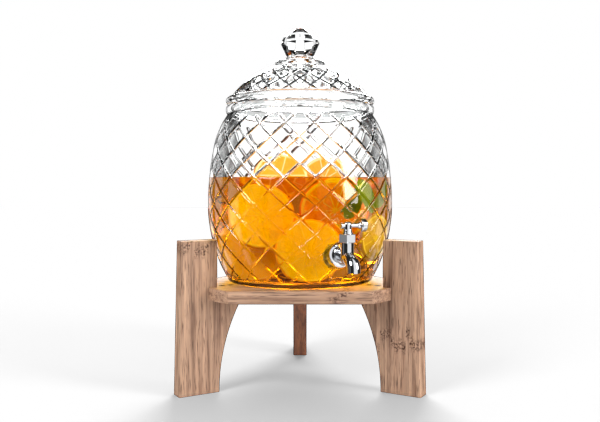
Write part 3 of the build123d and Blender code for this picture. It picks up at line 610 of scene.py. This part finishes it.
# ---- fruit and leaves ----
SEGMENT_HOLLOWS = 10
FLESH_EDGE = 0.9  # shares of a slice's radius: where its flesh ends
RIM_START = 0.94  # and where its rim begins to round
ORANGE_RADIUS = 0.327 * INNER_RADIUS
ORANGE_THICK = 6.5 * MM
ORANGES = [  # x, y and rise in shares of the jar's size, then azimuth and elevation of the face
    (-0.372, -0.460, 0.651, -92.0, 6.0),
    (0.088, -0.566, 0.351, -88.0, 2.0),
    (-0.460, -0.177, 0.351, -112.0, 0.0),
    (0.319, -0.336, 0.696, -88.0, 4.0),
    (-0.230, 0.248, 1.005, -78.0, 38.0),
    (0.301, 0.425, 0.967, -104.0, 30.0),
]
FRESH = (3,)  # the slices whose membranes are still pale
ABOVE = (4, 5)  # the slices that stand out of the drink
LEMON_RADIUS = 0.248 * INNER_RADIUS
LEMON_THICK = 6 * MM
LEMONS = [
    (0.743, -0.389, 0.455, -35.0, 0.0),
    (0.177, 0.088, 0.440, -95.0, -8.0),
]
LEAF_LENGTH = 46 * MM
LEAF_WIDTH = 21 * MM
LEAF_THICK = 0.35 * MM  # from its middle surface, beside its midrib
LEAF_EDGE = 0.05 * MM
LEAF_VEIN = 0.5 * MM
LEAF_CUP = 2.2 * MM
LEAF_BEND = 2.5 * MM
LEAVES = [  # the same, and the leaf's roll about its face
    (0.664, -0.619, 0.823, -43.0, 0.0, -58.0),
    (0.761, -0.195, 0.846, -14.0, 0.0, 40.0),
    (0.513, -0.513, 0.785, -45.0, 0.0, 60.0),
]


def facing(x, y, rise, azimuth, elevation, roll=0.0):
    """Matrix that lays a flat piece at shares of the jar's size, its face to a direction that
    azimuth and elevation give in degrees."""
    a, e = radians(azimuth), radians(elevation)
    look = Vector((cos(e) * cos(a), cos(e) * sin(a), sin(e)))
    turn = look.to_track_quat("Z", "Y").to_matrix().to_4x4()
    spin = Matrix.Rotation(radians(roll), 4, "Z")
    centre = (x * INNER_RADIUS, y * INNER_RADIUS, JAR_FOOT + rise * (DRINK_TOP - JAR_FOOT))
    return Matrix.Translation(centre) @ turn @ spin


def citrus_slice(name, radius, thick, matrix, around=96):
    """A cut slice: a round body, its rim rounded, its flesh a little hollow in each segment,
    with the slice's own x and y kept as UVs so that its pattern turns with it."""
    rings = np.concatenate([np.linspace(0.05, FLESH_EDGE, 14), [RIM_START, 0.97, 0.99, 1.0]])
    angle = np.linspace(0, 2 * pi, around, endpoint=False)[None, :]
    share = rings[:, None] + 0 * angle
    past_rim = ((share - RIM_START) / (1 - RIM_START)).clip(0, 1)
    drop = np.sqrt(np.clip(1 - past_rim**2, 0.06, 1))
    between = np.abs(np.sin(angle * SEGMENT_HOLLOWS / 2)) ** 0.5
    hollow = 0.06 * between * np.clip(1 - share, 0, 1) * (share < FLESH_EDGE)
    half = thick / 2 * (drop - hollow)
    top = np.stack([radius * share * np.cos(angle), radius * share * np.sin(angle), half], -1)
    bottom = top * np.array([1, 1, -1])
    grid = np.concatenate([bottom, top[::-1]])
    rows = len(grid)
    points = np.concatenate([grid.reshape(-1, 3), [[0, 0, -thick / 2], [0, 0, thick / 2]]])
    triangles = [ring_triangles(rows, around), *end_fans(rows, around)]
    piece = put_mesh(name, points, np.concatenate(triangles), 50, matrix)
    index = np.zeros(len(piece.data.loops), np.int32)
    piece.data.loops.foreach_get("vertex_index", index)
    flat = (points[index][:, :2] / (2 * radius) + 0.5).astype(np.float32)
    layer = piece.data.uv_layers.new(name="slice")
    layer.data.foreach_set("uv", flat.ravel())
    return piece


def leaf(name, length, width, matrix):
    """A mint leaf: a pointed oval, cupped along its midrib and waved at its edge, made as a
    grid along and across the leaf with a top and an underside that meet at the edge."""
    along = np.linspace(-1, 1, 41)[:, None]
    across = np.linspace(-1, 1, 17)[None, :]
    outline = (1 - along**2) ** 0.6 * (1 - 0.25 * along)
    teeth = 1 + 0.05 * np.abs(np.sin(along * 24))
    x = length / 2 * along + 0 * across
    y = width / 2 * outline * teeth * across
    side = np.abs(across)
    veins = LEAF_VEIN * np.sin(along * 26 + side * 5) * side * (1 - np.abs(along))
    z = LEAF_CUP * across**2 * outline + veins - LEAF_BEND * along**2
    thick = LEAF_THICK * np.clip(outline * 3, 0, 1) * (1 - across**2) + LEAF_EDGE
    top = np.stack([x, y, z + thick], -1)
    under = np.stack([x, y, z - thick], -1)
    loop = np.concatenate([under, top[:, ::-1]], 1)
    rows, around = loop.shape[0], loop.shape[1]
    points = np.concatenate([loop.reshape(-1, 3), [loop[0].mean(0)], [loop[-1].mean(0)]])
    triangles = [ring_triangles(rows, around), *end_fans(rows, around)]
    return put_mesh(name, points, np.concatenate(triangles), 60, matrix)


def citrus(name, flesh, bright, pith, peel, segments):
    """Fresh citrus, cut across: wet translucent flesh in wedges, pale membranes and pith, a
    coloured peel. The wedges come from the angle round the slice and the peel from the
    distance to its middle."""
    material, tree = new_material(name)
    place = add(tree, "ShaderNodeUVMap", uv_map="slice")
    centred = add(tree, "ShaderNodeVectorMath", operation="SUBTRACT",
                  links={0: place.outputs[0]}, inputs={1: (0.5, 0.5, 0.0)})
    parts = add(tree, "ShaderNodeSeparateXYZ", links={0: centred.outputs[0]})
    far = add(tree, "ShaderNodeVectorMath", operation="LENGTH",
              links={0: centred.outputs[0]}).outputs["Value"]
    angle = add(tree, "ShaderNodeMath", operation="ARCTAN2",
                links={0: parts.outputs[1], 1: parts.outputs[0]})
    wedges = add(tree, "ShaderNodeMath", operation="MULTIPLY", links={0: angle.outputs[0]},
                 inputs={1: segments / (2 * pi)})
    wedge = add(tree, "ShaderNodeMath", operation="PINGPONG", links={0: wedges.outputs[0]},
                inputs={1: 0.5})
    width = add(tree, "ShaderNodeMath", operation="MULTIPLY",
                links={0: wedge.outputs[0], 1: far})
    membrane, core, white, skin = (
        add(tree, "ShaderNodeMapRange", interpolation_type="SMOOTHSTEP", links={"Value": value},
            inputs={"From Min": start, "From Max": end, "To Min": before, "To Max": 1 - before})
        for value, start, end, before in (
            (width.outputs[0], 0.006, 0.018, 1.0), (far, 0.03, 0.05, 1.0),
            (far, 0.428, 0.446, 0.0), (far, 0.470, 0.482, 0.0)))
    cells = add(tree, "ShaderNodeTexVoronoi", links={"Vector": centred.outputs[0]},
                inputs={"Scale": 34.0})
    tone = add(tree, "ShaderNodeMix", data_type="RGBA", links={"Factor": cells.outputs["Distance"]},
               inputs={6: linear(bright), 7: linear(flesh)})
    middle = add(tree, "ShaderNodeMath", operation="MAXIMUM",
                 links={0: membrane.outputs[0], 1: core.outputs[0]})
    pale = add(tree, "ShaderNodeMath", operation="MAXIMUM",
               links={0: middle.outputs[0], 1: white.outputs[0]})
    inner = add(tree, "ShaderNodeMix", data_type="RGBA", links={
        "Factor": pale.outputs[0], 6: tone.outputs[2]}, inputs={7: linear(pith)})
    whole = add(tree, "ShaderNodeMix", data_type="RGBA", links={
        "Factor": skin.outputs[0], 6: inner.outputs[2]}, inputs={7: linear(peel)})
    bump = add(tree, "ShaderNodeBump", links={"Height": cells.outputs["Distance"]},
               inputs={"Strength": 0.3, "Distance": 0.0004})
    wet = add(tree, "ShaderNodeBsdfPrincipled", links={
        "Base Color": whole.outputs[2], "Normal": bump.outputs[0]},
        inputs={"Roughness": 0.25, "Subsurface Weight": 0.15,
                "Subsurface Radius": (0.003, 0.002, 0.001)})
    add(tree, "ShaderNodeOutputMaterial", links={"Surface": wet.outputs[0]})
    return material


def mint_leaf():
    """Fresh mint: mid green in darker and lighter patches, with a soft waxy sheen."""
    material, tree = new_material("mint_leaf_fresh")
    place = add(tree, "ShaderNodeTexCoord")
    noise = add(tree, "ShaderNodeTexNoise", links={"Vector": place.outputs["Object"]},
                inputs={"Scale": 160.0, "Detail": 3.0})
    tone = add(tree, "ShaderNodeMix", data_type="RGBA", links={"Factor": noise.outputs["Fac"]},
               inputs={6: linear("2F5508"), 7: linear("769A20")})
    body = add(tree, "ShaderNodeBsdfPrincipled", links={"Base Color": tone.outputs[2]}, inputs={
        "Roughness": 0.4, "Subsurface Weight": 0.3, "Subsurface Radius": (0.002, 0.004, 0.001)})
    add(tree, "ShaderNodeOutputMaterial", links={"Surface": body.outputs[0]})
    return material


# ---- camera, studio ----
CAMERA_DISTANCE = 0.934
CAMERA_HEIGHT = 0.255
CAMERA_DOWN = 2.34
CAMERA_LENS = 43.3
CAMERA_SENSOR = 36

FLOOR_HALF = 6.0
LAMPS = (  # name, place, aimed at, size, watts, colour
    ("key_right", (1.3, -0.7, 0.7), (0, 0, 0.2), (0.5, 1.0), 18, (1.0, 0.97, 0.94)),
    ("fill_left", (-0.9, -0.95, 1.05), (0, 0, 0.2), (0.6, 0.6), 15, (1, 1, 1)),
    ("back_top", (0.1, 1.1, 0.95), (0, 0, 0.15), (0.9, 0.5), 30, (1, 1, 1)),
)

SEEN, SOFT, WET = 1.0, 0.5, 0.85  # strength behind the object, on matt things and in the drink
GLASS_WALLS = 4  # surfaces a ray crosses in the empty glass; the drink adds two
PANELS = 12  # in the whole ring round the glass
PANEL_LIGHT, PANEL_GAP = 1.3, 0.02
FRONT_SHARE = 0.06  # of the panels' strength, in front of the object
BAND_SHARE = 0.04
ROOF_LIGHT = 0.12
WIDE_CARD = (radians(31), radians(32))  # middle and half width, to the right of the camera
THIN_CARD = (radians(-68), radians(6))
CARD_LIGHT, CARD_GAP = 1.1, 0.03
THIN_SHARE = 0.25  # of the wide card's strength
TABLE_LIGHT = 0.5


def make_camera():
    """A level-standing camera a little above the drink, tipped slightly down."""
    data = bpy.data.cameras.new("camera")
    data.lens = CAMERA_LENS
    data.sensor_width = CAMERA_SENSOR
    camera = bpy.data.objects.new("camera", data)
    camera.location = AXIS + Vector((0, -CAMERA_DISTANCE, CAMERA_HEIGHT))
    camera.rotation_euler = (radians(90 - CAMERA_DOWN), 0, 0)
    bpy.context.scene.collection.objects.link(camera)
    bpy.context.scene.camera = camera


def make_floor():
    """A plain white table top, wide enough to pass for endless. It is seen only by the shadow
    on it, so it stays as white as the surround behind it."""
    corners = [(x, y, 0) for x, y in ((-1, -1), (1, -1), (1, 1), (-1, 1))]
    floor = put_mesh("studio_floor", FLOOR_HALF * np.array(corners, float), [(0, 1, 2), (0, 2, 3)])
    material, tree = new_material("white_sweep")
    sheet = add(tree, "ShaderNodeBsdfPrincipled", inputs={
        "Base Color": linear("EFEFEF"), "Roughness": 0.9, "Specular IOR Level": 0.1})
    add(tree, "ShaderNodeOutputMaterial", links={"Surface": sheet.outputs[0]})
    floor.data.materials.append(material)
    floor.is_shadow_catcher = True
    floor.visible_transmission = False
    floor.visible_glossy = False


def make_lamp(name, place, aim, size, power, colour):
    """A soft rectangular lamp that looks at a point."""
    data = bpy.data.lights.new(name, "AREA")
    data.shape = "RECTANGLE"
    data.size, data.size_y = size
    data.energy = power
    data.color = colour
    lamp = bpy.data.objects.new(name, data)
    lamp.location = place
    lamp.rotation_euler = (Vector(aim) - Vector(place)).to_track_quat("-Z", "Y").to_euler()
    bpy.context.scene.collection.objects.link(lamp)


def panel_ring(tree, parts):
    """What the glass shows: a ring of white panels behind the object with dark gaps between
    them, faint in front of it, a dark band above the panels and a soft roof."""
    angle = add(tree, "ShaderNodeMath", operation="ARCTAN2",
                links={0: parts.outputs[0], 1: parts.outputs[1]})
    turns = add(tree, "ShaderNodeMath", operation="MULTIPLY", links={0: angle.outputs[0]},
                inputs={1: PANELS / (2 * pi)})
    panel = add(tree, "ShaderNodeMath", operation="PINGPONG", links={0: turns.outputs[0]},
                inputs={1: 0.5})
    panels, front, band, roof = (
        add(tree, "ShaderNodeMapRange", interpolation_type="SMOOTHSTEP", links={"Value": value},
            inputs={"From Min": start, "From Max": end, "To Min": before, "To Max": after})
        for value, start, end, before, after in (
            (panel.outputs[0], 0.28, 0.33, PANEL_LIGHT, PANEL_GAP),
            (parts.outputs[1], -0.35, 0.0, FRONT_SHARE, 1.0),
            (parts.outputs[2], 0.20, 0.27, 1.0, BAND_SHARE),
            (parts.outputs[2], 0.60, 0.72, 0.0, ROOF_LIGHT)))
    ring = add(tree, "ShaderNodeMath", operation="MULTIPLY",
               links={0: panels.outputs[0], 1: front.outputs[0]})
    walls = add(tree, "ShaderNodeMath", operation="MULTIPLY",
                links={0: ring.outputs[0], 1: band.outputs[0]})
    total = add(tree, "ShaderNodeMath", operation="ADD",
                links={0: walls.outputs[0], 1: roof.outputs[0]})
    return add(tree, "ShaderNodeBackground", links={"Strength": total.outputs[0]},
               inputs={"Color": linear("FFFFFF")})


def reflector_ring(tree, parts):
    """What the metal mirrors: one wide white card to the right of the camera, a thin grey one
    to the left, a pale table and darkness between them."""
    ahead = add(tree, "ShaderNodeMath", operation="MULTIPLY", links={0: parts.outputs[1]},
                inputs={1: -1.0})
    side = add(tree, "ShaderNodeMath", operation="ARCTAN2",
               links={0: parts.outputs[0], 1: ahead.outputs[0]})
    wide, thin = (
        add(tree, "ShaderNodeMath", operation="COMPARE", links={0: side.outputs[0]},
            inputs={1: middle, 2: half})
        for middle, half in (WIDE_CARD, THIN_CARD))
    cards = add(tree, "ShaderNodeMath", operation="MULTIPLY_ADD",
                links={0: thin.outputs[0], 2: wide.outputs[0]}, inputs={1: THIN_SHARE})
    bright = add(tree, "ShaderNodeMath", operation="MULTIPLY_ADD", links={0: cards.outputs[0]},
                 inputs={1: CARD_LIGHT, 2: CARD_GAP})
    table = add(tree, "ShaderNodeMapRange", interpolation_type="SMOOTHSTEP",
                links={"Value": parts.outputs[2]}, inputs={
                    "From Min": -0.75, "From Max": -0.35, "To Min": TABLE_LIGHT, "To Max": 0.0})
    total = add(tree, "ShaderNodeMath", operation="ADD",
                links={0: bright.outputs[0], 1: table.outputs[0]})
    return add(tree, "ShaderNodeBackground", links={"Strength": total.outputs[0]},
               inputs={"Color": linear("FFFFFF")})


def make_surround():
    """A light tent, which shows each kind of ray its own light: plain white to the camera, soft
    white to matt things, even white to rays that went through the drink, the ring of panels
    to the glass and the reflectors to the metal, whose slight haze tells it from glass."""
    world = bpy.data.worlds.new("light_tent")
    bpy.context.scene.world = world
    world.use_nodes = True
    tree = world.node_tree
    tree.nodes.clear()
    way = add(tree, "ShaderNodeTexCoord")
    parts = add(tree, "ShaderNodeSeparateXYZ", links={0: way.outputs["Generated"]})
    ray = add(tree, "ShaderNodeLightPath").outputs
    wet = add(tree, "ShaderNodeMath", operation="GREATER_THAN",
              links={0: ray["Transmission Depth"]}, inputs={1: GLASS_WALLS + 0.5})
    dull = add(tree, "ShaderNodeMath", operation="SUBTRACT",
               links={0: ray["Is Glossy Ray"], 1: ray["Is Singular Ray"]})
    metal = add(tree, "ShaderNodeMath", operation="GREATER_THAN",
                links={0: dull.outputs[0]}, inputs={1: 0.5})
    even, soft, seen = (
        add(tree, "ShaderNodeBackground", inputs={"Color": linear("FFFFFF"), "Strength": strength})
        for strength in (WET, SOFT, SEEN))
    light = panel_ring(tree, parts)
    for kind, chosen in ((wet.outputs[0], even), (metal.outputs[0], reflector_ring(tree, parts)),
                         (ray["Is Diffuse Ray"], soft), (ray["Is Camera Ray"], seen)):
        light = add(tree, "ShaderNodeMixShader",
                    links={0: kind, 1: light.outputs[0], 2: chosen.outputs[0]})
    add(tree, "ShaderNodeOutputWorld", links={"Surface": light.outputs[0]})


def make_studio():
    """The surround, the table and the lamps."""
    make_surround()
    make_floor()
    for lamp in LAMPS:
        make_lamp(*lamp)


# ---- build ----
make_camera()
make_studio()

glass = pressed_glass()
jar = make_jar()
jar.data.materials.append(glass)
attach(jar, "filled_jar")
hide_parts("jar")

lid = make_lid()
lid.data.materials.append(glass)
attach(lid, "glass_lid")
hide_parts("lid")

knob = make_knob()
knob.data.materials.append(glass)
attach(knob, "glass_lid")
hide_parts("lid_knob")

drink = make_drink()
drink.data.materials.append(fruit_drink())
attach(drink, "filled_jar")
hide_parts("drink")

ORANGE_SEGMENTS, LEMON_SEGMENTS = 10, 9
soaked = citrus("orange_soaked", "FFE24A", "FFEC7A", "FFE9A8", "FFBE22", ORANGE_SEGMENTS)
above = citrus("orange_cut_in_shade", "D08A10", "E0A020", "EBC98A", "D97F0C", ORANGE_SEGMENTS)
fresh = citrus("orange_fresh_cut", "F2A413", "FFC83A", "FFF0CE", "F2900C", ORANGE_SEGMENTS)
for number, place in enumerate(ORANGES):
    piece = citrus_slice(f"orange_slice_{number + 1}", ORANGE_RADIUS, ORANGE_THICK, facing(*place))
    piece.data.materials.append(above if number in ABOVE else fresh if number in FRESH else soaked)
    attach(piece, "filled_jar")
    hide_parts("orange_slices")

lemon = citrus("lemon_fresh_cut", "B89A5A", "CBB27A", "DCCBA2", "A88532", LEMON_SEGMENTS)
for number, place in enumerate(LEMONS):
    piece = citrus_slice(f"lemon_slice_{number + 1}", LEMON_RADIUS, LEMON_THICK, facing(*place))
    piece.data.materials.append(lemon)
    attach(piece, "filled_jar")
    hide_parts("lemon_slices")

mint = mint_leaf()
for number, place in enumerate(LEAVES):
    piece = leaf(f"mint_leaf_{number + 1}", LEAF_LENGTH, LEAF_WIDTH, facing(*place))
    piece.data.materials.append(mint)
    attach(piece, "filled_jar")
    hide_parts("mint_leaves")


def finish_node(node, material):
    """Gives a CAD node its finished material, in every slot."""
    piece = NODES[node]
    if not piece.material_slots:
        piece.data.materials.append(material)
    for slot in piece.material_slots:
        slot.material = material


chrome = plated_chrome()
for node in ("tap_body", "tap_flange", "bonnet_nut", "spindle", "handle_bar", "handle_end_cap",
             "handle_knob"):
    finish_node(node, chrome)
finish_node("leg_screws", plain_part("screw_steel_blacked", "3A3634", 0.35, 1.0))
finish_node("tap_nut", plain_part("nylon_moulded", "EFE3B8", 0.45))
silicone = clear_silicone()
for node in ("outer_gasket", "inner_gasket", "gland_washer"):
    finish_node(node, silicone)
finish_node("plug_o_rings", plain_part("nitrile_rubber_moulded", "17181A", 0.6))
finish_node("valve_plug", plain_part("brass_turned", "C79A4B", 0.25, 1.0))
LEG_STRIPS, PLATE_STRIPS = 210.0, 240.0  # to a metre, so 4.8 mm and 4.2 mm wide
LEGS = (  # node, its azimuth, the height of its node marks, its tint, which on the rear leg is painted shade
    ("leg_front_left", 210, 0.176, "F6F5F5"),
    ("leg_front_right", 330, 0.062, "F6F5F5"),
    # The rear leg's darker brown is painted shade for the shade it stands in under the plate, not a
    # stain of its own wood.
    ("leg_rear", 90, 0.1, "AE8465"),
)
for leg, azimuth, marks, tint_and_painted_shade in LEGS:
    upright = (0, 0, -radians(azimuth))
    finish_node(leg, laminated_bamboo(f"bamboo_oiled_{leg}", upright, LEG_STRIPS, marks, tint_and_painted_shade))
finish_node("stand_plate", laminated_bamboo(
    "bamboo_oiled_plate", (0, radians(90), 0), PLATE_STRIPS, -0.05, "F3F1F1"))

bpy.context.scene.view_settings.view_transform = "Standard"
bpy.context.scene.cycles.transmission_bounces = 24
bpy.context.scene.cycles.max_bounces = 28
bpy.context.scene.cycles.transparent_max_bounces = 24
